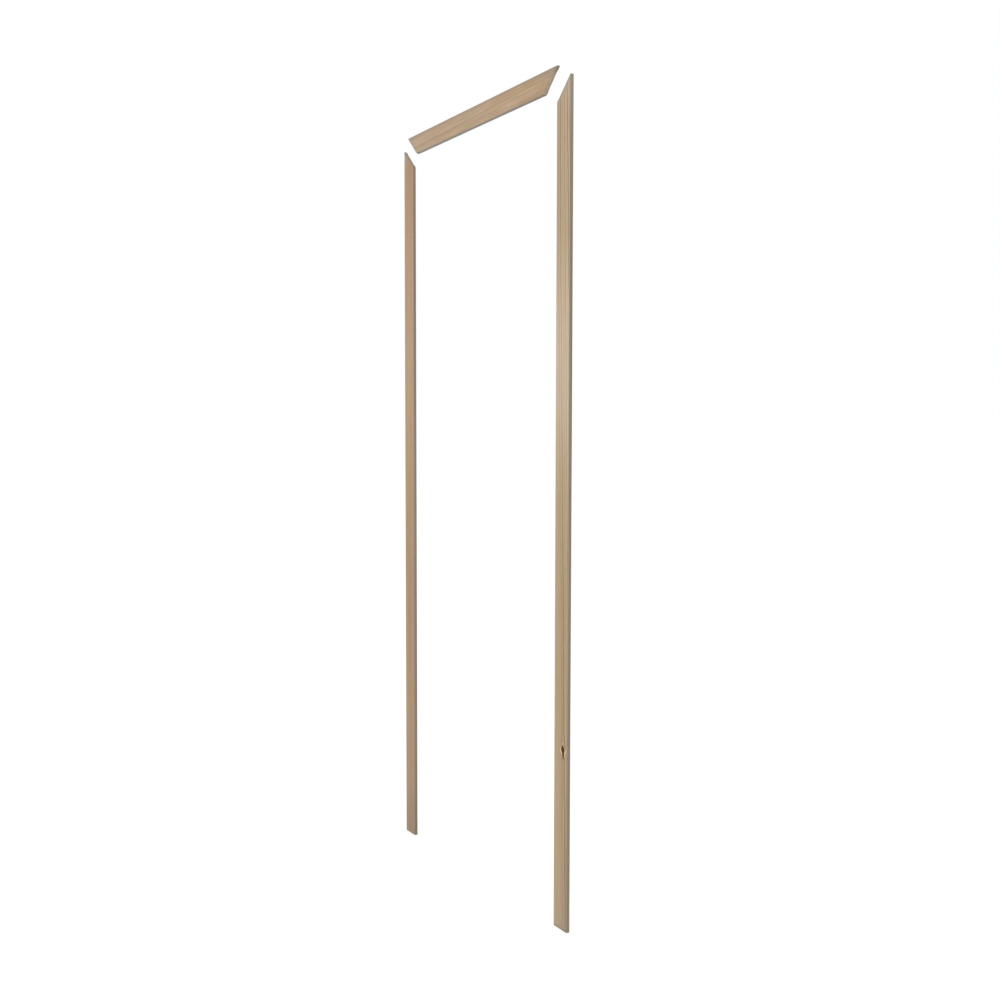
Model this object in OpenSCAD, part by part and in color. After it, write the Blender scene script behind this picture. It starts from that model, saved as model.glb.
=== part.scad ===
// Door casing: two upright legs and a head, run from one softwood moulding and mitred at the top corners.
// The origin is on the floor line, midway between the legs, on the wall plane.
// The backs of the sticks lie on the plane Y = 0, and their faces look along -Y, into the room.
// With the three sizes under Layout at zero, the mitres close and the frame is as it is nailed up.

/* [Moulding] */
// Width of the moulding, from its outer edge to its inner edge
casing_w = 57.15; // [40:0.05:120]
// Thickness of the moulding, from the wall plane to the face
casing_t = 9.525; // [7:0.025:25]
// Radius of the arris between the face and the outer edge
outer_arris_r = 1.6; // [0.5:0.1:4]
// Radius of the arris between the face and the inner edge
inner_arris_r = 2.4; // [0.5:0.1:5]

/* [Back relief] */
// Depth of the hollow ploughed along the back
relief_depth = 1.0; // [0.4:0.1:2.5]
// Width of the flat land left along each edge of the back
land_w = 7.9; // [4:0.1:12]
// Run of the sloping side between a land and the floor of the hollow
relief_slope = 1.6; // [0.4:0.1:4]

/* [Lengths] */
// Length of each leg along its outer edge, from the floor to the tip of its mitre
leg_len = 2133.6; // [600:0.1:3000]
// Length of the head along its outer edge, from tip to tip
head_len = 787.4; // [400:0.1:2400]

/* [Layout] */
// Distance that each leg stands out sideways from its place in the closed frame
leg_spread = 40.5; // [0:0.5:120]
// Height that the head is lifted above its place in the closed frame
head_lift = 35; // [0:0.5:120]
// Distance that the head is moved sideways from its place in the closed frame
head_shift = -16; // [-40:0.5:40]

/* [Hidden] */
$fn = 48;
pine = [0.70, 0.61, 0.50];
// Distance that a cutter reaches past the wood on every free side
cutter_reach = 5;
// Distance of a leg's outer edge from the middle of the opening
leg_outer_x = head_len / 2 + leg_spread;
// Height of the head's outer edge above the floor
head_top_z = leg_len + head_lift;

// Waste that rounds a square corner at [0, 0], with the wood on its +X and +Y sides.
module arris_waste(r) {
    difference() {
        translate([-cutter_reach, -cutter_reach]) square(cutter_reach + r);
        translate([r, r]) circle(r);
    }
}

// Section of the moulding. X runs from the outer edge to the inner edge, and Y from the wall to the face.
// The hollow in the back lets the lands bear on a wall and a jamb that are not quite level with each other.
module casing_section() {
    difference() {
        polygon([
            [0, 0],
            [land_w, 0],
            [land_w + relief_slope, relief_depth],
            [casing_w - land_w - relief_slope, relief_depth],
            [casing_w - land_w, 0],
            [casing_w, 0],
            [casing_w, casing_t],
            [0, casing_t]
        ]);
        translate([0, casing_t]) rotate(-90) arris_waste(outer_arris_r);
        translate([casing_w, casing_t]) rotate(180) arris_waste(inner_arris_r);
    }
}

// Waste that mitres an end. The tip is at [0, 0, 0] on the outer edge, and the wood is below the cut.
// The cut falls one width over one width, which is 45 degrees.
module mitre_waste() {
    run = casing_w + cutter_reach;
    translate([0, casing_t + cutter_reach, 0])
        rotate([90, 0, 0])
            linear_extrude(casing_t + 2 * cutter_reach)
                polygon([[-cutter_reach, cutter_reach], [run, -run], [run, cutter_reach]]);
}

// Length of moulding with its outer edge on the Z axis and a mitre at its top end.
// A true second_mitre cuts the bottom end to the opposite hand.
module stick(len, second_mitre) {
    difference() {
        linear_extrude(len) casing_section();
        translate([0, 0, len]) mitre_waste();
        if (second_mitre) mirror([0, 0, 1]) mitre_waste();
    }
}

module right_leg() {
    color(pine) translate([leg_outer_x, 0, 0]) rotate([0, 0, 180]) stick(leg_len, false);
}

// The left leg is the other hand: the same stick in a mirror.
module left_leg() {
    color(pine) mirror([1, 0, 0]) translate([leg_outer_x, 0, 0]) rotate([0, 0, 180]) stick(leg_len, false);
}

// The head lies on its side, with its outer edge at the top.
module head_casing() {
    color(pine)
        translate([head_shift + head_len / 2, 0, head_top_z])
            rotate([0, 90, 180])
                stick(head_len, true);
}

left_leg();
right_leg();
head_casing();
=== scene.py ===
# %% [markdown]
# A door casing is the trim that covers the joint between a door frame and the wall round it.
# This one is three sticks of bare pine moulding: a left leg, a right leg and a head, each mitred where
# it meets its neighbour. They are laid out as a set, with the mitres pulled a little apart.
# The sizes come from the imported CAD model, which is loaded first and is never moved. Everything made
# here is in metres, in the same frame: Z up along the legs, -Y out of the wall, X to the right.

import math

import bpy
from mathutils import Matrix, Vector


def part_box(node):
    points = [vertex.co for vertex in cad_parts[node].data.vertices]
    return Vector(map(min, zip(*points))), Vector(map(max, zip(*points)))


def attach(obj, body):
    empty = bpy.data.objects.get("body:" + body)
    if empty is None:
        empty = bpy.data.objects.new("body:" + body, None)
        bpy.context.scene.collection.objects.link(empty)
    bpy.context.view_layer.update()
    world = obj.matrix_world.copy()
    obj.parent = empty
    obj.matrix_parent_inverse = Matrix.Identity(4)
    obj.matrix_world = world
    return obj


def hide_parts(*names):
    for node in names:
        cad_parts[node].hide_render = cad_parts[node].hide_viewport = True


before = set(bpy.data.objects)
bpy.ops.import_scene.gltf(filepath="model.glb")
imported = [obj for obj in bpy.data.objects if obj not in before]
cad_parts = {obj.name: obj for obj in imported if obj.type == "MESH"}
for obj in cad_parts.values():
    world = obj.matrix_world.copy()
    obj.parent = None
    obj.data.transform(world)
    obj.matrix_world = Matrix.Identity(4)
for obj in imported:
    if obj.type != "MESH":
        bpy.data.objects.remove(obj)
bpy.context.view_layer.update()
MM = 0.001
scene = bpy.context.scene
print("pieces in the frame:", sorted(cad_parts))

# %% Read the sizes of the sticks from the frame
leg_low, leg_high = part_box("right_leg")
head_low, head_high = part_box("head_casing")
casing_width = leg_high.x - leg_low.x
casing_thickness = leg_high.y - leg_low.y
leg_length = leg_high.z - leg_low.z
head_length = head_high.x - head_low.x
print("moulding, mm:", round(casing_width / MM, 2), "by", round(casing_thickness / MM, 2))
print("legs and head, mm:", round(leg_length / MM, 1), round(head_length / MM, 1))

# %% [markdown]
# The photograph was taken from the right of the casing, from about the height of its middle.
# A camera is three facts: where it stands, where it looks and how wide its lens sees. The place and the
# angles were found by matching the outlines of the three sticks, so they are plain numbers here.
# The turn is made of a heading about the upright axis, and then a small tilt down.

# %% Camera
camera_place = Vector((2.6185, -1.6042, 1.2489))
camera_heading = math.radians(57.46)
camera_tilt = math.radians(3.20)
camera_roll = 0.0015
camera_data = bpy.data.cameras.new("camera")
camera_data.sensor_fit = "HORIZONTAL"
camera_data.sensor_width = 36.0
camera_data.lens = 39.33
camera = bpy.data.objects.new("camera", camera_data)
scene.collection.objects.link(camera)
camera.matrix_world = (
    Matrix.Translation(camera_place)
    @ Matrix.Rotation(camera_heading, 4, "Z")
    @ Matrix.Rotation(math.radians(90) - camera_tilt, 4, "X")
    @ Matrix.Rotation(camera_roll, 4, "Z")
)
scene.camera = camera
scene.view_settings.view_transform = "Standard"
print("camera stands", round((camera_place - leg_low).length, 2), "m from the foot of the right leg")

# %% [markdown]
# Node trees come up again and again below, for the light, the shape and the wood.
# A few small helpers keep them readable: one plugs a value in, the next ones do arithmetic on numbers
# and vectors, and the last one starts a group. Those for arithmetic give back a socket, so that a
# formula can be written nearly as on paper.

# %% Helpers for node trees
def plug(tree, value, socket):
    """Link an output to a socket, or write a plain value on the socket."""
    if isinstance(value, bpy.types.NodeSocket):
        tree.links.new(value, socket)
    else:
        socket.default_value = value


def calc(tree, operation, *values):
    """One step of arithmetic, in a shader tree or a geometry tree."""
    node = tree.nodes.new("ShaderNodeMath")
    node.operation = operation
    for value, socket in zip(values, node.inputs):
        plug(tree, value, socket)
    return node.outputs["Value"]


def vector_calc(tree, operation, *values):
    """One step of vector arithmetic. A length or a distance comes out as a number."""
    node = tree.nodes.new("ShaderNodeVectorMath")
    node.operation = operation
    for value, socket in zip(values, node.inputs):
        plug(tree, value, socket)
    single = operation in ("LENGTH", "DISTANCE", "DOT_PRODUCT")
    return node.outputs["Value" if single else "Vector"]


def parts_of(tree, vector):
    """The X, Y and Z of a vector, as three sockets."""
    node = tree.nodes.new("ShaderNodeSeparateXYZ")
    plug(tree, vector, node.inputs[0])
    return node.outputs["X"], node.outputs["Y"], node.outputs["Z"]


def vector_of(tree, x, y, z):
    """Three numbers joined into a vector."""
    node = tree.nodes.new("ShaderNodeCombineXYZ")
    for value, socket in zip((x, y, z), node.inputs):
        plug(tree, value, socket)
    return node.outputs["Vector"]


def new_group(name, kind, inputs, outputs):
    """A node group with named sockets. Gives back the tree, what it is given and what it has to fill."""
    tree = bpy.data.node_groups.new(name, kind)
    for label, socket_type, value in inputs:
        socket = tree.interface.new_socket(label, in_out="INPUT", socket_type=socket_type)
        if value is not None:
            socket.default_value = value
    for label, socket_type in outputs:
        tree.interface.new_socket(label, in_out="OUTPUT", socket_type=socket_type)
    given = tree.nodes.new("NodeGroupInput").outputs
    result = tree.nodes.new("NodeGroupOutput").inputs
    return tree, given, result


NUMBER = "NodeSocketFloat"
VECTOR = "NodeSocketVector"
COUNT = "NodeSocketInt"
SHAPE = "NodeSocketGeometry"

# %% [markdown]
# The set stands in front of plain white, so the light is a plain soft studio: an even sky, a large lamp
# in front, another on the right, and a small softbox on the left. Planed pine has a faint sheen, and the
# softbox stands where the right leg mirrors it to the camera. That gives the pale stretch in the middle
# of that leg. The softbox has a grid, which is the narrow spread below, to keep its glare off the left leg.
# White behind the object comes from what the camera sees of the sky and floor, and not from more light.

# %% Sky
def seen_directly(tree):
    """1 for what the camera, a mirror or a glass looks at, and 0 for light that only falls on things."""
    rays = tree.nodes.new("ShaderNodeLightPath").outputs
    seen = calc(tree, "MAXIMUM", rays["Is Camera Ray"], rays["Is Glossy Ray"])
    return calc(tree, "MAXIMUM", seen, rays["Is Transmission Ray"])


sky_light = 0.625
world = bpy.data.worlds.new("studio_sky")
scene.world = world
world.use_nodes = True
sky = world.node_tree
sky.nodes.clear()
sky_strength = calc(sky, "MULTIPLY_ADD", seen_directly(sky), 1.0 - sky_light, sky_light)
sky_shader = sky.nodes.new("ShaderNodeBackground")
sky_shader.inputs["Color"].default_value = (1.0, 1.0, 1.0, 1.0)
plug(sky, sky_strength, sky_shader.inputs["Strength"])
sky_output = sky.nodes.new("ShaderNodeOutputWorld")
sky.links.new(sky_shader.outputs["Background"], sky_output.inputs["Surface"])
print("sky gives", sky_light, "of white to the wood")


# %% Lamps
def softbox(name, place, target, width, height, watts):
    """A lamp with a flat glowing front that faces a point."""
    lamp = bpy.data.lights.new(name, "AREA")
    lamp.shape = "RECTANGLE"
    lamp.size = width
    lamp.size_y = height
    lamp.energy = watts
    holder = bpy.data.objects.new(name, lamp)
    scene.collection.objects.link(holder)
    aim = Vector(target) - Vector(place)
    holder.matrix_world = Matrix.Translation(place) @ aim.to_track_quat("-Z", "Y").to_matrix().to_4x4()
    return holder


middle = (0.0, 0.0, 1.1)
pale_stretch = (0.45, 0.0, 1.47)
softbox("front_lamp", (1.4, -7.0, 2.0), middle, width=3.0, height=3.0, watts=140.0)
softbox("right_lamp", (6.0, -3.2, 1.2), middle, width=3.0, height=3.0, watts=110.0)
left_lamp = softbox("left_lamp", (-1.95, -1.75, 1.75), pale_stretch, width=0.7, height=1.05, watts=0.85)
left_lamp.data.spread = math.radians(44)

# %% Floor
floor_half = 40.0
floor_shade = (0.40, 0.40, 0.40, 1.0)
floor_glow = 0.78
floor_mesh = bpy.data.meshes.new("floor")
floor_corners = [(x, y, 0.0) for x, y in ((-1, -1), (1, -1), (1, 1), (-1, 1))]
floor_mesh.from_pydata([Vector(c) * floor_half for c in floor_corners], [], [(0, 1, 2, 3)])
floor = bpy.data.objects.new("floor", floor_mesh)
scene.collection.objects.link(floor)

paint = bpy.data.materials.new("floor_paint")
paint.use_nodes = True
tree = paint.node_tree
tree.nodes.clear()
floor_diffuse = tree.nodes.new("ShaderNodeBsdfDiffuse")
floor_diffuse.inputs["Color"].default_value = floor_shade
floor_lift = tree.nodes.new("ShaderNodeEmission")
floor_lift.inputs["Color"].default_value = (1.0, 1.0, 1.0, 1.0)
plug(tree, calc(tree, "MULTIPLY", seen_directly(tree), floor_glow), floor_lift.inputs["Strength"])
floor_sum = tree.nodes.new("ShaderNodeAddShader")
tree.links.new(floor_diffuse.outputs[0], floor_sum.inputs[0])
tree.links.new(floor_lift.outputs[0], floor_sum.inputs[1])
tree.links.new(floor_sum.outputs[0], tree.nodes.new("ShaderNodeOutputMaterial").inputs["Surface"])
floor_mesh.materials.append(paint)
print("floor is", 2 * floor_half, "m square")

# %% [markdown]
# The moulding comes off a moulder as one long stick with the same section all the way.
# Its face is flat, with a small rounded arris on the outer edge and a larger one on the inner edge.
# A shallow hollow is ploughed along the back, so that the stick bears on two lands.
# The section is drawn as one closed loop of edges. U runs from the outer edge to the inner edge, and
# T from the wall to the face. It is a mesh, because Geometry Nodes can turn a mesh loop into a curve.

# %% Section of the moulding
outer_arris = 1.6 * MM
inner_arris = 2.4 * MM
back_arris = 0.3 * MM
outer_steps = 8
inner_steps = 10
back_steps = 2
relief_depth = 1.0 * MM
land_width = 7.9 * MM
relief_slope = 1.6 * MM
# Distance of a spare point beside each arris, which keeps its soft shading off the flat faces
support = 0.25 * MM


def arc(centre_u, centre_t, radius, start, end, steps):
    """Points along an arc between two angles in degrees, ends included."""
    turns = [math.radians(start + (end - start) * i / steps) for i in range(steps + 1)]
    return [(centre_u + radius * math.cos(a), centre_t + radius * math.sin(a)) for a in turns]


def spread(start, end, step):
    """Even places from start to end, both included, no more than step apart."""
    count = max(1, math.ceil(round(abs(end - start) / step, 6)))
    return [start + (end - start) * i / count for i in range(count + 1)]


def section_points(face_lines):
    """The loop, with extra points on the face at the places in face_lines."""
    w, t = casing_width, casing_thickness
    back = [
        (land_width, 0.0),
        (land_width + relief_slope, relief_depth),
        (w - land_width - relief_slope, relief_depth),
        (w - land_width, 0.0),
    ]
    inner = [(w, t - inner_arris - support)]
    inner += arc(w - inner_arris, t - inner_arris, inner_arris, 0, 90, inner_steps)
    face = [w - inner_arris - support] + sorted(face_lines, reverse=True) + [outer_arris + support]
    outer = arc(outer_arris, t - outer_arris, outer_arris, 90, 180, outer_steps)
    outer.append((0.0, t - outer_arris - support))
    points = arc(back_arris, back_arris, back_arris, 180, 270, back_steps) + back
    points += arc(w - back_arris, back_arris, back_arris, 270, 360, back_steps) + inner
    points += [(u, t) for u in face] + outer
    return points


def section_mesh(name, face_lines):
    """The loop as a mesh, with its rounded points marked as arris."""
    points = section_points(face_lines)
    mesh = bpy.data.meshes.new(name)
    loop = [(i, (i + 1) % len(points)) for i in range(len(points))]
    mesh.from_pydata([(u, t, 0.0) for u, t in points], loop, [])
    rounded = mesh.attributes.new("arris", "FLOAT", "POINT")
    for value, (u, t) in zip(rounded.data, points):
        near_face = t > casing_thickness - inner_arris
        near_edge = u < outer_arris or u > casing_width - inner_arris
        value.value = 1.0 if near_face and near_edge else 0.0
    print(name, "has", len(points), "points")
    return mesh


# %% [markdown]
# Geometry Nodes run the section along the stick, as the moulder does, and then cut the ends.
# A mitre needs no boolean: each point of an end slides along the stick by its distance from the outer
# edge, and a fall of one over one is 45 degrees. Lines are packed close only where the knot is, because
# the planer leaves the hard knot a little hollow there. The tree also writes what the wood needs to
# know: where each point lies in its own stick, and which faces are sawn.

# %% Geometry tree that runs a stick
def ramp(tree, value, low, high, end):
    """Rises evenly from nothing to end while value goes from low to high, and stays there."""
    node = tree.nodes.new("ShaderNodeMapRange")
    names = ("Value", "From Min", "From Max", "To Max")
    for name, number in zip(names, (value, low, high, end)):
        plug(tree, number, node.inputs[name])
    return node.outputs["Result"]


def through(tree, kind, geometry, **settings):
    """A geometry node with its main input plugged in. Gives back the node."""
    node = tree.nodes.new(kind)
    for key, value in settings.items():
        setattr(node, key, value)
    tree.links.new(geometry, node.inputs[0])
    return node


def keep(tree, geometry, name, value, data_type, domain):
    """Write a named attribute, and pass the geometry on."""
    node = through(tree, "GeometryNodeStoreNamedAttribute", geometry, data_type=data_type, domain=domain)
    node.inputs["Name"].default_value = name
    plug(tree, value, node.inputs["Value"])
    return node.outputs["Geometry"]


def stick_tree():
    """The tree that runs the section, cuts the ends and hollows the knot."""
    # A normal that leans more than this along the stick belongs to a sawn end
    steep = 0.5
    # An edge between a sawn end and a side reads one half, so a quarter finds it
    some_sawn = 0.25
    # How far under the face a point may lie and still count as on it
    face_slack = 0.01 * MM
    tree, given, result = new_group(
        "run_moulding",
        "GeometryNodeTree",
        [
            ("Section", SHAPE, None),
            ("Length", NUMBER, 1.0),
            ("Thickness", NUMBER, 0.01),
            ("First Mitre", NUMBER, 0.0),
            ("Far Mitre", NUMBER, 1.0),
            ("Close From", NUMBER, 0.4),
            ("Close To", NUMBER, 0.5),
            ("Close Rows", COUNT, 2),
            ("Plain Rows", COUNT, 2),
            ("Knot U", NUMBER, 0.02),
            ("Knot Height", NUMBER, 0.5),
            ("Knot Half Width", NUMBER, 0.007),
            ("Knot Half Height", NUMBER, 0.02),
            ("Knot Hollow", NUMBER, 0.0),
            ("Wood", "NodeSocketMaterial", None),
        ],
        [("Stick", SHAPE)],
    )
    line = tree.nodes.new("GeometryNodeCurvePrimitiveLine")
    line.inputs["End"].default_value = (0.0, 0.0, 1.0)
    rows = through(tree, "GeometryNodeResampleCurve", line.outputs[0])
    to_close = given["Plain Rows"]
    past_close = calc(tree, "ADD", to_close, given["Close Rows"])
    last_row = calc(tree, "ADD", past_close, given["Plain Rows"])
    plug(tree, calc(tree, "ADD", last_row, 1.0), rows.inputs["Count"])
    row = tree.nodes.new("GeometryNodeInputIndex").outputs[0]
    close_length = calc(tree, "SUBTRACT", given["Close To"], given["Close From"])
    rest_length = calc(tree, "SUBTRACT", given["Length"], given["Close To"])
    row_z = ramp(tree, row, 0.0, to_close, given["Close From"])
    row_z = calc(tree, "ADD", row_z, ramp(tree, row, to_close, past_close, close_length))
    row_z = calc(tree, "ADD", row_z, ramp(tree, row, past_close, last_row, rest_length))
    rail = through(tree, "GeometryNodeSetPosition", rows.outputs[0])
    plug(tree, vector_of(tree, 0.0, 0.0, row_z), rail.inputs["Position"])
    profile = through(tree, "GeometryNodeMeshToCurve", given["Section"])
    swept = through(tree, "GeometryNodeCurveToMesh", rail.outputs[0])
    tree.links.new(profile.outputs[0], swept.inputs["Profile Curve"])
    swept.inputs["Fill Caps"].default_value = True

    normal_z = parts_of(tree, tree.nodes.new("GeometryNodeInputNormal").outputs["Normal"])[2]
    sawn = calc(tree, "GREATER_THAN", calc(tree, "ABSOLUTE", normal_z), steep)
    shape = keep(tree, swept.outputs[0], "cut_end", sawn, "FLOAT", "FACE")
    named = tree.nodes.new("GeometryNodeInputNamedAttribute")
    named.inputs["Name"].default_value = "cut_end"
    rim = calc(tree, "GREATER_THAN", named.outputs["Attribute"], some_sawn)
    shape = keep(tree, shape, "bevel_weight_edge", rim, "FLOAT", "EDGE")

    u, t, z = parts_of(tree, tree.nodes.new("GeometryNodeInputPosition").outputs[0])
    share = calc(tree, "DIVIDE", z, given["Length"])
    first = calc(tree, "MULTIPLY", u, given["First Mitre"])
    far = calc(tree, "MULTIPLY", u, given["Far Mitre"])
    room = calc(tree, "SUBTRACT", calc(tree, "SUBTRACT", given["Length"], far), first)
    cut = through(tree, "GeometryNodeSetPosition", shape)
    new_z = calc(tree, "MULTIPLY_ADD", share, room, first)
    plug(tree, vector_of(tree, u, t, new_z), cut.inputs["Position"])
    place = tree.nodes.new("GeometryNodeInputPosition").outputs[0]
    shape = keep(tree, cut.outputs[0], "grain_place", place, "FLOAT_VECTOR", "POINT")

    u, t, z = parts_of(tree, tree.nodes.new("GeometryNodeInputPosition").outputs[0])
    across = calc(tree, "DIVIDE", calc(tree, "SUBTRACT", u, given["Knot U"]), given["Knot Half Width"])
    along = calc(tree, "DIVIDE", calc(tree, "SUBTRACT", z, given["Knot Height"]), given["Knot Half Height"])
    reach = calc(tree, "MULTIPLY_ADD", across, across, calc(tree, "MULTIPLY", along, along))
    bowl = calc(tree, "MAXIMUM", calc(tree, "SUBTRACT", 1.0, reach), 0.0)
    on_face = calc(tree, "GREATER_THAN", t, calc(tree, "SUBTRACT", given["Thickness"], face_slack))
    depth = calc(tree, "MULTIPLY", calc(tree, "MULTIPLY", bowl, bowl), given["Knot Hollow"])
    sunk = calc(tree, "MULTIPLY", calc(tree, "MULTIPLY", depth, on_face), -1.0)
    hollow = through(tree, "GeometryNodeSetPosition", shape)
    plug(tree, vector_of(tree, 0.0, sunk, 0.0), hollow.inputs["Offset"])

    whole = through(tree, "GeometryNodeRealizeInstances", hollow.outputs[0])
    painted = through(tree, "GeometryNodeSetMaterial", whole.outputs[0])
    tree.links.new(given["Wood"], painted.inputs["Material"])
    tree.links.new(painted.outputs[0], result["Stick"])
    return tree


run_moulding = stick_tree()
print("stick tree has", len(run_moulding.nodes), "nodes")

# %% [markdown]
# Pine is made of yearly rings round a pith. Each ring starts pale and soft and ends in a thin, dark,
# hard band. The finish is a solid pattern: a formula for the whole log, from which each stick is cut.
# So the lines run along the face, turn over the arris and show as arcs on the sawn ends, as in real wood.
# All lengths inside these groups are in millimetres.

# %% Textures stretched along the grain
def ease(tree, value, low, high, start=0.0, end=1.0):
    """A soft step from start to end, while value goes from low to high."""
    node = tree.nodes.new("ShaderNodeMapRange")
    node.interpolation_type = "SMOOTHSTEP"
    names = ("Value", "From Min", "From Max", "To Min", "To Max")
    for name, number in zip(names, (value, low, high, start, end)):
        plug(tree, number, node.inputs[name])
    return node.outputs["Result"]


def fade(tree, value, low, high):
    """A soft step down from 1 to nothing, while value goes from low to high."""
    return ease(tree, value, low, high, start=1.0, end=0.0)


def noise(tree, place, across, along, detail=2.0, shift=0.0):
    """Noise with grains of the given size across and along the stick. Gives the texture node."""
    size = (1.0 / across, 1.0 / across, 1.0 / along)
    node = tree.nodes.new("ShaderNodeTexNoise")
    node.inputs["Scale"].default_value = 1.0
    node.inputs["Detail"].default_value = detail
    plug(tree, vector_calc(tree, "MULTIPLY_ADD", place, size, (shift, shift, shift)), node.inputs["Vector"])
    return node


# %% Growth rings
def growth_rings_group():
    """Rings round a pith line. Latewood is the dark band of each year, and Year Tone differs by year."""
    tree, given, result = new_group(
        "growth_rings",
        "ShaderNodeTree",
        [
            ("Place", VECTOR, None),
            ("Pith U", NUMBER, -60.0),
            ("Pith T", NUMBER, -60.0),
            ("Lean U", NUMBER, 0.0),
            ("Lean T", NUMBER, 0.0),
            ("Ring Width", NUMBER, 3.0),
            ("Wander", NUMBER, 5.0),
        ],
        [("Latewood", NUMBER), ("Year Tone", NUMBER)],
    )
    waver = (1.6, 1.6, 0.0)
    pace_scale = 0.055
    pace_strength = 5.0
    least_band = 0.45
    slow = noise(tree, given["Place"], across=160.0, along=800.0, detail=1.0).outputs["Color"]
    slow = vector_calc(tree, "SUBTRACT", slow, (0.5, 0.5, 0.5))
    bend = vector_calc(tree, "MULTIPLY", slow, vector_of(tree, given["Wander"], given["Wander"], 0.0))
    small = noise(tree, given["Place"], across=22.0, along=90.0, detail=2.0, shift=7.0).outputs["Color"]
    small = vector_calc(tree, "SUBTRACT", small, (0.5, 0.5, 0.5))
    bent = vector_calc(tree, "ADD", given["Place"], bend)
    bent = vector_calc(tree, "MULTIPLY_ADD", small, waver, bent)
    u, t, z = parts_of(tree, bent)
    pith_u = calc(tree, "MULTIPLY_ADD", z, given["Lean U"], given["Pith U"])
    pith_t = calc(tree, "MULTIPLY_ADD", z, given["Lean T"], given["Pith T"])
    arm_u = calc(tree, "SUBTRACT", u, pith_u)
    arm_t = calc(tree, "SUBTRACT", t, pith_t)
    radius = vector_calc(tree, "LENGTH", vector_of(tree, arm_u, arm_t, 0.0))
    pace = tree.nodes.new("ShaderNodeTexNoise")
    pace.noise_dimensions = "1D"
    pace.inputs["Scale"].default_value = pace_scale
    plug(tree, radius, pace.inputs["W"])
    years = calc(tree, "DIVIDE", radius, given["Ring Width"])
    years = calc(tree, "MULTIPLY_ADD", pace.outputs["Fac"], pace_strength, years)
    part = calc(tree, "FRACT", years)
    year = calc(tree, "FLOOR", years)
    lot = tree.nodes.new("ShaderNodeTexWhiteNoise")
    lot.noise_dimensions = "1D"
    plug(tree, year, lot.inputs["W"])
    band = calc(tree, "MULTIPLY", ease(tree, part, 0.42, 0.90), fade(tree, part, 0.94, 1.0))
    weight = calc(tree, "MULTIPLY_ADD", lot.outputs["Value"], 1.0 - least_band, least_band)
    plug(tree, calc(tree, "MULTIPLY", band, weight), result["Latewood"])
    plug(tree, lot.outputs["Value"], result["Year Tone"])
    return tree


# %% [markdown]
# Between the rings, planed pine shows fine fibres all along the stick, and short dark dashes where the
# planer cut resin canals open. Long soft stretches are warmer or greener than the rest.
# Each is noise or cells whose place was squeezed along the stick first, so every grain comes out long.

# %% Fibres, resin canals and long tints
def fibre_group():
    """The fine lengthwise fibre of planed pine, in two sizes."""
    tree, given, result = new_group(
        "fibres", "ShaderNodeTree", [("Place", VECTOR, None)], [("Fine", NUMBER), ("Coarse", NUMBER)]
    )
    fine = noise(tree, given["Place"], across=0.45, along=28.0, detail=3.0)
    coarse = noise(tree, given["Place"], across=2.4, along=170.0, detail=2.0, shift=3.0)
    plug(tree, calc(tree, "SUBTRACT", fine.outputs["Fac"], 0.5), result["Fine"])
    plug(tree, calc(tree, "SUBTRACT", coarse.outputs["Fac"], 0.5), result["Coarse"])
    return tree


def canal_group():
    """Resin canals: short dark dashes along the grain, and dots on a sawn end."""
    tree, given, result = new_group(
        "resin_canals", "ShaderNodeTree", [("Place", VECTOR, None)], [("Canal", NUMBER)]
    )
    cells = tree.nodes.new("ShaderNodeTexVoronoi")
    cells.inputs["Scale"].default_value = 1.0
    apart = 1.4
    dash_length = 48.0
    per_mm = (1.0 / apart, 1.0 / apart, 1.0 / dash_length)
    plug(tree, vector_calc(tree, "MULTIPLY", given["Place"], per_mm), cells.inputs["Vector"])
    plug(tree, fade(tree, cells.outputs["Distance"], 0.05, 0.11), result["Canal"])
    return tree


def tint_group():
    """Soft stretches where the wood is warmer, greener, or simply lighter and darker, and short dashes."""
    tree, given, result = new_group(
        "long_tints",
        "ShaderNodeTree",
        [("Place", VECTOR, None)],
        [("Warm", NUMBER), ("Olive", NUMBER), ("Tone", NUMBER), ("Dash", NUMBER)],
    )
    warm = noise(tree, given["Place"], across=9.0, along=330.0, detail=1.0, shift=11.0).outputs["Fac"]
    olive = noise(tree, given["Place"], across=7.0, along=300.0, detail=1.0, shift=23.0).outputs["Fac"]
    tone = noise(tree, given["Place"], across=13.0, along=420.0, detail=2.0, shift=37.0).outputs["Fac"]
    dash = noise(tree, given["Place"], across=3.0, along=48.0, detail=2.0, shift=51.0).outputs["Fac"]
    plug(tree, ease(tree, dash, 0.45, 0.68), result["Dash"])
    plug(tree, ease(tree, warm, 0.46, 0.70), result["Warm"])
    plug(tree, ease(tree, olive, 0.48, 0.70), result["Olive"])
    plug(tree, calc(tree, "SUBTRACT", tone, 0.5), result["Tone"])
    return tree


# %% [markdown]
# The right leg has one small dark knot, where a twig once grew out through the wood.
# Round it the grain parts and closes again, like water round a stone, and beside it the wood is pale.
# The group moves the place that the rings are read at, so the lines really flow round the knot.
# Its outline is made of two lenses, a wide one for the eye and a narrow one that hangs below as a tail.
# Each reads 1 on its edge and less inside it, so the smaller of the two is the outline of both.

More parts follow.
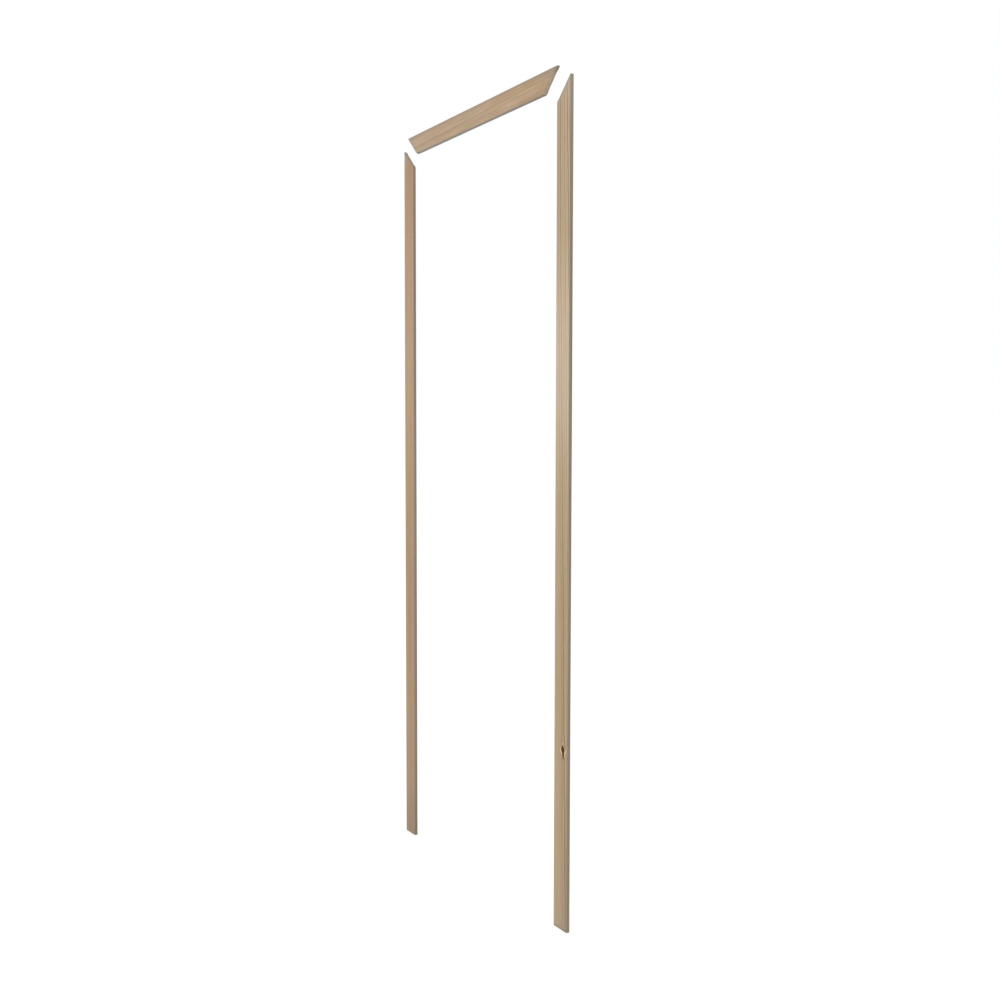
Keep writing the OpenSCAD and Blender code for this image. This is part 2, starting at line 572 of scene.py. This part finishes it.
# %% Knot
def knot_group():
    """A knot: its dark core, a soft shade and pale wood round it, and grain that parts for it."""
    tree, given, result = new_group(
        "knot",
        "ShaderNodeTree",
        [
            ("Place", VECTOR, None),
            ("Knot U", NUMBER, 18.0),
            ("Knot Height", NUMBER, 466.0),
            ("Half Width", NUMBER, 6.0),
            ("Half Height", NUMBER, 18.0),
            ("Lean", NUMBER, 0.1),
            ("Face T", NUMBER, 9.5),
        ],
        [("Grain Place", VECTOR), ("Core", NUMBER), ("Halo", NUMBER), ("Feather", NUMBER)],
    )
    taper_per_mm = 0.06
    eye_power = 1.5
    tail_drop = 0.85
    tail_narrowing = 1.7
    roughness = 0.35
    swell_across = 0.38
    swell_along = 0.55
    parting = -0.72
    u, t, z = parts_of(tree, given["Place"])
    up = calc(tree, "SUBTRACT", z, given["Knot Height"])
    side = calc(tree, "SUBTRACT", u, calc(tree, "MULTIPLY_ADD", up, given["Lean"], given["Knot U"]))
    depth = calc(tree, "SUBTRACT", given["Face T"], t)
    taper = calc(tree, "MULTIPLY_ADD", depth, taper_per_mm, 1.0)
    across = calc(tree, "DIVIDE", calc(tree, "ABSOLUTE", side), given["Half Width"])
    across = calc(tree, "MULTIPLY", across, taper)
    rise = calc(tree, "DIVIDE", up, given["Half Height"])
    along = calc(tree, "MULTIPLY", calc(tree, "ABSOLUTE", rise), taper)
    eye = calc(tree, "ADD", across, calc(tree, "POWER", along, eye_power))
    below = calc(tree, "ADD", rise, tail_drop)
    tail = calc(tree, "MULTIPLY_ADD", below, below, calc(tree, "MULTIPLY", across, tail_narrowing))
    rough = noise(tree, given["Place"], across=1.6, along=5.0, detail=3.0, shift=5.0).outputs["Fac"]
    outline = calc(tree, "MINIMUM", eye, tail)
    outline = calc(tree, "MULTIPLY_ADD", calc(tree, "SUBTRACT", rough, 0.5), roughness, outline)
    plug(tree, fade(tree, outline, 0.85, 1.12), result["Core"])
    plug(tree, fade(tree, outline, 0.7, 1.9), result["Feather"])

    near_u = calc(tree, "MULTIPLY", across, swell_across)
    near_z = calc(tree, "MULTIPLY", along, swell_along)
    near = calc(tree, "MULTIPLY_ADD", near_u, near_u, calc(tree, "MULTIPLY", near_z, near_z))
    swell = calc(tree, "EXPONENT", calc(tree, "MULTIPLY", near, -1.0))
    push = calc(tree, "MULTIPLY", calc(tree, "MULTIPLY", side, swell), parting)
    parted = vector_calc(tree, "ADD", given["Place"], vector_of(tree, push, 0.0, 0.0))
    plug(tree, parted, result["Grain Place"])
    beside = calc(tree, "MULTIPLY", ease(tree, outline, 1.05, 1.3), fade(tree, outline, 1.4, 2.3))
    low = calc(tree, "MULTIPLY", ease(tree, up, -2.0, 6.0, 1.0, 0.3), ease(tree, up, -22.0, -15.0))
    plug(tree, calc(tree, "MULTIPLY", beside, low), result["Halo"])
    return tree


# %% [markdown]
# Tools leave marks that light picks out. The turning knives of a moulder scoop a faint ripple, a scoop
# every millimetre or two. A round saw leaves arcs on the end that it cuts, about the place where its axle
# was. Both are sine waves, one of the height and one of the distance from that place.

# %% Tool marks
def tool_marks_group():
    """Knife ripples of the moulder along the stick, and the arcs that a saw leaves on a cut end."""
    tree, given, result = new_group(
        "tool_marks",
        "ShaderNodeTree",
        [
            ("Place", VECTOR, None),
            ("Knife Pitch", NUMBER, 1.7),
            ("Saw Pitch", NUMBER, 1.1),
            ("Saw Centre", VECTOR, None),
        ],
        [("Ripple", NUMBER), ("Saw", NUMBER)],
    )
    wander = 4.0
    z = parts_of(tree, given["Place"])[2]
    uneven = noise(tree, given["Place"], across=40.0, along=60.0, detail=1.0, shift=2.0).outputs["Fac"]
    turn = calc(tree, "MULTIPLY", calc(tree, "DIVIDE", z, given["Knife Pitch"]), math.tau)
    ripple = calc(tree, "MULTIPLY_ADD", calc(tree, "SINE", turn), 0.5, 0.5)
    plug(tree, calc(tree, "MULTIPLY", ripple, uneven), result["Ripple"])
    swing = vector_calc(tree, "DISTANCE", given["Place"], given["Saw Centre"])
    stray = noise(tree, given["Place"], across=9.0, along=9.0, detail=2.0, shift=4.0).outputs["Fac"]
    turn = calc(tree, "MULTIPLY", calc(tree, "DIVIDE", swing, given["Saw Pitch"]), math.tau)
    turn = calc(tree, "MULTIPLY_ADD", stray, wander, turn)
    plug(tree, calc(tree, "MULTIPLY_ADD", calc(tree, "SINE", turn), 0.5, 0.5), result["Saw"])
    return tree


# %% [markdown]
# These masks place painted shade along the edges and sides of bare wood: a rim right at each edge and sawn
# end, a patchy border inside it, the sides below the face, and the outer edge of one stick. Two more masks
# carry
# colour: the greyer mitred tips, and a darker stretch at one end of a stick.

# %% Painted shade at edges and sides, and marks at tips and ends
def edge_and_end_masks_group():
    """Where shade is painted along edges, sides and ends, with the greyer tips and a darker end."""
    tree, given, result = new_group(
        "edge_and_end_masks",
        "ShaderNodeTree",
        [
            ("Place", VECTOR, None),
            ("Width", NUMBER, 57.0),
            ("Length", NUMBER, 2000.0),
            ("First Mitre", NUMBER, 0.0),
            ("Far Mitre", NUMBER, 1.0),
            ("Stained End", NUMBER, -1000.0),
        ],
        [
            ("Rim Shade", NUMBER),
            ("Border Shade", NUMBER),
            ("Corner", NUMBER),
            ("Shade Below Face", NUMBER),
            ("Dark End", NUMBER),
            ("Outer Shade", NUMBER),
        ],
    )
    out_of_reach = 1000.0
    tip_across = 1.6
    tip_along = 0.25
    u, t, z = parts_of(tree, given["Place"])
    side = calc(tree, "MINIMUM", u, calc(tree, "SUBTRACT", given["Width"], u))
    first = calc(tree, "SUBTRACT", z, calc(tree, "MULTIPLY", u, given["First Mitre"]))
    far = calc(tree, "SUBTRACT", given["Length"], calc(tree, "MULTIPLY_ADD", u, given["Far Mitre"], z))
    cut = calc(tree, "MINIMUM", first, far)
    patchy = noise(tree, given["Place"], across=9.0, along=30.0, detail=2.0, shift=17.0).outputs["Fac"]
    # Painted shade: a grey rim along each long edge and each sawn end, patchy along the stick
    rim = calc(tree, "MAXIMUM", ease(tree, side, 0.8, 4.6, 0.8, 0.0), fade(tree, cut, 1.0, 9.0))
    plug(tree, calc(tree, "MULTIPLY", rim, ease(tree, patchy, 0.2, 0.6, 0.75, 1.0)), result["Rim Shade"])
    # Painted shade: a wider patchy border inside the rim
    border = calc(tree, "MAXIMUM", fade(tree, side, 2.0, 10.0), fade(tree, cut, 5.0, 22.0))
    plug(tree, calc(tree, "MULTIPLY", border, ease(tree, patchy, 0.35, 0.65)), result["Border Shade"])

    first_square = calc(tree, "SUBTRACT", 1.0, given["First Mitre"])
    far_square = calc(tree, "SUBTRACT", 1.0, given["Far Mitre"])
    first_tip = calc(tree, "MULTIPLY_ADD", first_square, out_of_reach, first)
    far_tip = calc(tree, "MULTIPLY_ADD", far_square, out_of_reach, far)
    tip = calc(tree, "MULTIPLY", calc(tree, "MINIMUM", first_tip, far_tip), tip_along)
    corner = calc(tree, "MULTIPLY_ADD", u, tip_across, tip)
    plug(tree, fade(tree, corner, 10.0, 40.0), result["Corner"])
    # Painted shade on the sides: darker the further a point lies from the face
    plug(tree, fade(tree, t, 1.0, 8.0), result["Shade Below Face"])
    # Painted shade along the outer edge
    plug(tree, fade(tree, u, 3.0, 13.0), result["Outer Shade"])
    # A stretch darker towards one end of the stick
    from_dark_end = calc(tree, "ABSOLUTE", calc(tree, "SUBTRACT", z, given["Stained End"]))
    plug(tree, fade(tree, from_dark_end, 10.0, 210.0), result["Dark End"])
    return tree


# %% Make the shared groups
growth_rings = growth_rings_group()
fibres = fibre_group()
resin_canals = canal_group()
long_tints = tint_group()
knot = knot_group()
tool_marks = tool_marks_group()
edge_and_end_masks = edge_and_end_masks_group()
print("shared groups:", sorted(group.name for group in bpy.data.node_groups if group.type == "SHADER"))

# %% [markdown]
# The wood of every stick is made from the same groups, and a board is a list of facts that sets it
# apart: its colours, where in the log it was sawn, where it is darker, and how much painted shade and
# painted light it gets. Colours are laid over each other from broad to fine: pale early wood, dark late
# wood, long tints, fibres and canals, then the darker end, the painted shade of the border and outer edge,
# the greyer tips, the painted shade of the rim and sides, and at last the knot. The sawn ends are a little
# greyer than the face, and painted light makes them lighter, most of all on the head. Roughness and bump
# follow the same masks, so that shine, relief and colour agree.

# %% Helpers for colours and masks
def srgb(red, green, blue):
    """A colour written as on a screen, 0 to 255, turned into the linear numbers that shaders use."""
    def linear(level):
        share = level / 255
        return share / 12.92 if share <= 0.04045 else ((share + 0.055) / 1.055) ** 2.4
    return (linear(red), linear(green), linear(blue), 1.0)


def socket_named(sockets, identifier):
    """A Mix node has several sockets with one label, so they are told apart by identifier."""
    return next(s for s in sockets if s.identifier == identifier)


def lay_over(tree, mask, share, under, over, mode="MIX"):
    """Lay a share of a colour over another where the mask is 1. A whole share needs no arithmetic."""
    factor = mask if share == 1.0 else calc(tree, "MULTIPLY", mask, share)
    node = tree.nodes.new("ShaderNodeMix")
    node.data_type = "RGBA"
    node.blend_type = mode
    plug(tree, factor, socket_named(node.inputs, "Factor_Float"))
    plug(tree, under, socket_named(node.inputs, "A_Color"))
    plug(tree, over, socket_named(node.inputs, "B_Color"))
    return socket_named(node.outputs, "Result_Color")


def add_up(tree, base, parts):
    """A base value plus each mask times its strength."""
    for mask, strength in parts:
        base = calc(tree, "MULTIPLY_ADD", mask, strength, base)
    return base


def attribute(tree, name):
    """The outputs of a named attribute of the mesh."""
    node = tree.nodes.new("ShaderNodeAttribute")
    node.attribute_name = name
    return node.outputs


def use(tree, group, **values):
    """Place a shared group in a material. Underscores in the names stand for spaces."""
    node = tree.nodes.new("ShaderNodeGroup")
    node.node_tree = group
    for name, value in values.items():
        plug(tree, value, node.inputs[name.replace("_", " ")])
    return node.outputs


# %% Masks of one stick
def masks_of(tree, board):
    """All that the colour, the shine and the relief of a stick are made from."""
    own = vector_calc(tree, "MULTIPLY", attribute(tree, "grain_place")["Vector"], (1.0 / MM,) * 3)
    masks = {"ends": attribute(tree, "cut_end")["Fac"], "arris": attribute(tree, "arris")["Fac"]}
    masks["long_face"] = calc(tree, "SUBTRACT", 1.0, masks["ends"])
    flow = own
    if board["knot"]:
        masks["knot"] = use(tree, knot, Place=own, **board["knot"])
        flow = masks["knot"]["Grain Place"]
    if board["fleck"]:
        masks["fleck"] = use(tree, knot, Place=own, **board["fleck"])
    log_place = vector_calc(tree, "ADD", flow, board["log_offset"])
    figure_place = vector_calc(tree, "MULTIPLY", log_place, (1.0, 1.0, board["shortening"]))
    masks["rings"] = use(
        tree,
        growth_rings,
        Place=log_place,
        Pith_U=board["log_offset"][0] + board["pith"][0],
        Pith_T=board["log_offset"][1] + board["pith"][1],
        Lean_U=board["lean"][0],
        Lean_T=board["lean"][1],
        Ring_Width=board["ring_width"],
    )
    masks["fibre"] = use(tree, fibres, Place=figure_place)
    masks["canal"] = use(tree, resin_canals, Place=log_place)["Canal"]
    masks["tint"] = use(tree, long_tints, Place=figure_place)
    masks["tool"] = use(tree, tool_marks, Place=own, Saw_Centre=board["saw_centre"])
    masks["worn"] = use(
        tree,
        edge_and_end_masks,
        Place=own,
        Width=casing_width / MM,
        Length=board["length"],
        First_Mitre=board["mitres"][0],
        Far_Mitre=board["mitres"][1],
        Stained_End=board["dark_end_place"],
    )
    return masks


# %% Colour
def colour_of(tree, masks, board):
    """The colour of bare pine, from the board's two colours and everything laid over them."""
    ends, rings, fibre = masks["ends"], masks["rings"], masks["fibre"]
    tint, worn, painted_side_shade = masks["tint"], masks["worn"], board["painted_side_shade"]
    late_share = add_up(tree, 0.90, [(ends, -0.40)])
    colour = lay_over(tree, rings["Latewood"], late_share, board["early"], board["late"])
    colour = lay_over(tree, tint["Warm"], 0.8, colour, (1.0, 0.89, 0.84, 1.0), "MULTIPLY")
    colour = lay_over(tree, tint["Olive"], 0.8, colour, (0.92, 0.99, 0.78, 1.0), "MULTIPLY")
    colour = lay_over(tree, tint["Dash"], 0.6, colour, (0.97, 0.89, 0.90, 1.0), "MULTIPLY")
    colour = lay_over(tree, ends, 0.5, colour, srgb(180, 166, 148))
    shades = [
        (tint["Tone"], 0.35),
        (fibre["Coarse"], 0.36),
        (fibre["Fine"], 0.20),
        (calc(tree, "SUBTRACT", rings["Year Tone"], 0.5), 0.08),
        (masks["canal"], -0.22),
        # Painted shade on the rounded arrises
        (masks["arris"], -0.04),
        # Painted shade on the sides below the face, deeper on the sawn ends
        (worn["Shade Below Face"], add_up(tree, -0.13, [(ends, -0.17)])),
        # Sawn ends made lighter: painted light, strong on the head, and a little end grain tone on the legs
        (ends, board["end_tone_and_light"]),
    ]
    level = add_up(tree, 1.03, shades)
    colour = lay_over(tree, 1.0, 1.0, colour, vector_of(tree, level, level, level), "MULTIPLY")
    # A stretch darker towards one end of the stick
    colour = lay_over(tree, worn["Dark End"], 0.45, colour, srgb(132, 100, 66))
    # Painted shade along the patchy border of edges and ends
    colour = lay_over(tree, worn["Border Shade"], 0.35, colour, srgb(172, 154, 136))
    # Painted shade on the outer edge, as much as the board asks for
    colour = lay_over(tree, worn["Outer Shade"], painted_side_shade, colour, (0.81, 0.88, 0.91, 1.0), "MULTIPLY")
    colour = lay_over(tree, worn["Corner"], 0.6, colour, board["tips"])
    # Painted shade: the grey rim along every edge, weaker on the sawn ends
    rim_share = add_up(tree, 0.72, [(ends, -0.45)])
    colour = lay_over(tree, worn["Rim Shade"], rim_share, colour, srgb(146, 134, 119))
    # Painted shade on the sides below the face, as much as the board asks for
    shaded_sides = calc(tree, "MULTIPLY", worn["Shade Below Face"], masks["long_face"])
    colour = lay_over(tree, shaded_sides, painted_side_shade, colour, (0.80, 0.74, 0.66, 1.0), "MULTIPLY")
    if board["knot"]:
        colour = lay_over(tree, masks["knot"]["Halo"], 0.85, colour, srgb(244, 220, 178))
        colour = lay_over(tree, masks["knot"]["Feather"], 0.30, colour, srgb(138, 100, 62))
        colour = lay_over(tree, masks["knot"]["Core"], 1.0, colour, srgb(72, 45, 6))
    if board["fleck"]:
        colour = lay_over(tree, masks["fleck"]["Core"], 0.5, colour, srgb(96, 66, 40))
    return colour


# %% Shine and relief
def roughness_of(tree, masks, board):
    """Roughness: hard late wood shines a little more, sawn ends and the knot far less."""
    parts = [(masks["rings"]["Latewood"], -0.05), (masks["fibre"]["Coarse"], 0.10), (masks["ends"], 0.35)]
    if board["knot"]:
        parts.append((masks["knot"]["Core"], 0.60))
    return add_up(tree, 0.36, parts)


def height_of(tree, masks, board):
    """Relief: raised late wood and fibres, open canals, knife ripples, saw arcs and the low knot."""
    parts = [
        (masks["fibre"]["Fine"], 0.8),
        (masks["rings"]["Latewood"], 0.5),
        (masks["canal"], -0.8),
        (calc(tree, "MULTIPLY", masks["tool"]["Ripple"], masks["long_face"]), 0.35),
        (calc(tree, "MULTIPLY", masks["tool"]["Saw"], masks["ends"]), 0.8),
    ]
    if board["knot"]:
        parts.append((masks["knot"]["Core"], -2.0))
    return add_up(tree, 0.0, parts)


# %% Wood
def pine(name, board):
    """The wood of one stick."""
    material = bpy.data.materials.new(name)
    material.use_nodes = True
    tree = material.node_tree
    tree.nodes.clear()
    masks = masks_of(tree, board)
    relief = tree.nodes.new("ShaderNodeBump")
    relief.inputs["Strength"].default_value = 0.6
    relief.inputs["Distance"].default_value = 0.05 * MM
    plug(tree, height_of(tree, masks, board), relief.inputs["Height"])
    wood = tree.nodes.new("ShaderNodeBsdfPrincipled")
    wood.inputs["IOR"].default_value = 1.5
    wood.inputs["Specular IOR Level"].default_value = 0.4
    plug(tree, colour_of(tree, masks, board), wood.inputs["Base Color"])
    plug(tree, roughness_of(tree, masks, board), wood.inputs["Roughness"])
    plug(tree, relief.outputs["Normal"], wood.inputs["Normal"])
    output = tree.nodes.new("ShaderNodeOutputMaterial")
    tree.links.new(wood.outputs[0], output.inputs["Surface"])
    print(name, "has", len(tree.nodes), "nodes")
    return material


# %% [markdown]
# The facts of the three boards, with every length in millimetres in its own stick. The pith says where
# the middle of the tree lies beside the stick, so wide rings far from it give the broad straight lines of
# the right leg, and a near pith gives the head its livelier figure. The shortening draws the fibres and
# tints in along the stick.

# %% The board of the right leg
# A place so far off the stick that the darker end reaches none of the wood
no_dark_end = -1000.0
right_board = {
    "early": srgb(193, 169, 134),
    "late": srgb(124, 92, 58),
    "tips": srgb(188, 174, 158),
    "log_offset": (0.0, 0.0, 0.0),
    "pith": (-60.0, -90.0),
    "lean": (0.010, 0.006),
    "ring_width": 7.0,
    "shortening": 1.0,
    "saw_centre": (30.0, 150.0, 2230.0),
    "end_tone_and_light": 0.10,
    "length": leg_length / MM,
    "mitres": (0.0, 1.0),
    "dark_end_place": no_dark_end,
    "painted_side_shade": 0.0,
    "knot": {"Knot_U": 18.6, "Knot_Height": 466.0, "Half_Width": 6.8, "Half_Height": 13.0, "Lean": 0.07},
    "fleck": {"Knot_U": 22.8, "Knot_Height": 1984.0, "Half_Width": 1.6, "Half_Height": 5.5, "Lean": -0.05},
}
right_leg_pine = pine("bare_pine_right_leg", right_board)

# %% The board of the left leg
left_board = {
    "early": srgb(184, 150, 113),
    "late": srgb(136, 99, 66),
    "tips": srgb(188, 174, 158),
    "log_offset": (310.0, 70.0, 3100.0),
    "pith": (104.0, -66.0),
    "lean": (-0.003, 0.004),
    "ring_width": 4.4,
    "shortening": 1.0,
    "saw_centre": (30.0, 150.0, -90.0),
    "end_tone_and_light": 0.05,
    "length": leg_length / MM,
    "mitres": (1.0, 0.0),
    # This leg is darker towards its foot
    "dark_end_place": leg_length / MM,
    "painted_side_shade": 0.0,
    "knot": None,
    "fleck": None,
}
left_leg_pine = pine("bare_pine_left_leg", left_board)

# %% The board of the head
head_board = {
    "early": srgb(187, 160, 128),
    "late": srgb(168, 139, 108),
    "tips": srgb(156, 142, 128),
    "log_offset": (-240.0, 160.0, 7300.0),
    "pith": (-38.0, -30.0),
    "lean": (0.012, -0.006),
    "ring_width": 2.7,
    "shortening": 3.0,
    "saw_centre": (20.0, 150.0, -60.0),
    # Painted light on the sawn ends of the head, which face down and away from the lamps
    "end_tone_and_light": 1.0,
    "length": head_length / MM,
    "mitres": (1.0, 1.0),
    "dark_end_place": no_dark_end,
    # Share of painted shade on the outer edge and the sides of the head
    "painted_side_shade": 1.0,
    "knot": None,
    "fleck": None,
}
head_pine = pine("bare_pine_head", head_board)

# %% [markdown]
# Now each stick is run from its section. A modifier carries the Geometry Nodes tree, and its inputs are
# set by the identifier of each socket. The result is turned into a plain mesh, and a fine bevel takes the
# sharpness off the sawn edges.

# %% Helpers for making a stick
def set_input(modifier, label, value):
    """Set a tree's input on a modifier, found by its label."""
    items = modifier.node_group.interface.items_tree
    socket = next(i for i in items if i.name == label and i.in_out == "INPUT")
    modifier[socket.identifier] = value


def plain_mesh(obj, name):
    """The object's mesh with all its modifiers applied."""
    bpy.context.view_layer.update()
    graph = bpy.context.evaluated_depsgraph_get()
    mesh = bpy.data.meshes.new_from_object(obj.evaluated_get(graph))
    mesh.name = name
    return mesh


def ease_sawn_edges(obj):
    """Round the edges that the tree gave a bevel weight, which are those of the saw cuts."""
    bevel = obj.modifiers.new("eased", "BEVEL")
    bevel.limit_method = "WEIGHT"
    bevel.width = 0.25 * MM
    bevel.segments = 2


# %% [markdown]
# A map flattens the skin of a stick, so that its finish can be painted on an image for other programs.
# A stick is very long and its grain is long too, so the map squeezes the length and keeps the width:
# four strips lie side by side, one for each long side, and both sawn ends share a fifth.

# %% Flatten a stick for painting
def lay_flat(mesh, length):
    """Write the flat map of a stick that still stands in its own place."""
    gap = 3.0 * MM
    margin = 0.01
    end_margin = 0.02
    end_room = 0.46
    steep = 0.5
    strips = (casing_width, casing_width, casing_thickness, casing_thickness, casing_thickness)
    starts = [sum(strips[:i]) + gap * (i + 0.5) for i in range(len(strips))]
    front_at, back_at, outer_at, inner_at, ends_at = starts
    total = sum(strips) + gap * len(strips)
    layer = mesh.uv_layers.new(name="OFBake")
    places = mesh.attributes["grain_place"].data
    for face in mesh.polygons:
        across, out, up = face.normal
        for corner in face.loop_indices:
            u, t, z = places[mesh.loops[corner].vertex_index].vector
            along = margin + (1.0 - 2.0 * margin) * z / length
            if abs(up) > steep:
                half = 0.5 if up > 0 else 0.0
                spot = (half + end_margin + end_room * u / casing_width, ends_at + t)
            elif abs(out) >= abs(across):
                spot = (along, (front_at if out > 0 else back_at) + u)
            else:
                spot = (along, (outer_at if across < 0 else inner_at) + t)
            layer.uv[corner].vector = (spot[0], spot[1] / total)


# %% Stick
def stick(name, length, mitres, wood, place, face_lines=(), **knot_inputs):
    """Run a stick from its section, ease it, map it, and move it to its place in the frame."""
    obj = bpy.data.objects.new(name, section_mesh(name + "_section", face_lines))
    scene.collection.objects.link(obj)
    modifier = obj.modifiers.new("run", "NODES")
    modifier.node_group = run_moulding
    values = {
        "Length": length,
        "Thickness": casing_thickness,
        "First Mitre": mitres[0],
        "Far Mitre": mitres[1],
        "Close From": length / 3,
        "Close To": 2 * length / 3,
        "Wood": wood,
    }
    values.update({label.replace("_", " "): value for label, value in knot_inputs.items()})
    for label, value in values.items():
        set_input(modifier, label, value)
    run = plain_mesh(obj, name)
    obj.modifiers.remove(modifier)
    obj.data = run
    ease_sawn_edges(obj)
    finished = plain_mesh(obj, name)
    obj.modifiers.clear()
    obj.data = finished
    lay_flat(finished, length)
    finished.transform(place)
    finished.shade_smooth()
    finished.set_sharp_from_angle(angle=math.radians(30))
    print(name, "has", len(finished.polygons), "faces, box", [round(c, 4) for c in obj.dimensions])
    return obj


# %% [markdown]
# The meshes are moved and the objects stay at the origin. A left-hand stick is a stick with its mitre at
# the first end, turned over. A planer leaves a shallow hollow over a hard knot, so the right leg gets
# closer lines and rows there, fine enough to bend.

# %% Lines and rows round the knot
line_reach = 9.0 * MM
line_step = 0.75 * MM
rows_below = 24.0 * MM
rows_above = 28.0 * MM
knot_u = right_board["knot"]["Knot_U"] * MM
knot_height = right_board["knot"]["Knot_Height"] * MM
knot_lines = spread(knot_u - line_reach, knot_u + line_reach, line_step)
print("lines on the face round the knot:", len(knot_lines))

# %% Place the sticks in the frame
facing_room = Matrix.Rotation(math.radians(180), 4, "Z")
turned_over = Matrix.Rotation(math.radians(180), 4, "Y")
right_place = Matrix.Translation((leg_high.x, 0.0, 0.0)) @ facing_room
left_place = Matrix.Translation((-leg_high.x, 0.0, leg_length)) @ turned_over @ facing_room
head_place = Matrix(
    (
        (0.0, 0.0, -1.0, head_high.x),
        (0.0, -1.0, 0.0, 0.0),
        (-1.0, 0.0, 0.0, head_high.z),
        (0.0, 0.0, 0.0, 1.0),
    )
)
right_leg = stick(
    "pine_right_leg",
    leg_length,
    right_board["mitres"],
    right_leg_pine,
    right_place,
    knot_lines,
    Close_From=knot_height - rows_below,
    Close_To=knot_height + rows_above,
    Close_Rows=53,
    Knot_U=knot_u,
    Knot_Height=knot_height,
    Knot_Half_Width=6.0 * MM,
    Knot_Half_Height=16.0 * MM,
    Knot_Hollow=0.35 * MM,
)
left_leg = stick("pine_left_leg", leg_length, left_board["mitres"], left_leg_pine, left_place)
head = stick("pine_head", head_length, head_board["mitres"], head_pine, head_place)

# %% [markdown]
# Each finished stick stands in for the plain CAD solid of the same place and size.
# Nothing moves, so all three ride on the one body.

# %% Hand the sticks over to the frame
for piece, node in ((right_leg, "right_leg"), (left_leg, "left_leg"), (head, "head_casing")):
    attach(piece, "root")
    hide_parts(node)
    print(piece.name, "stands in for", node)
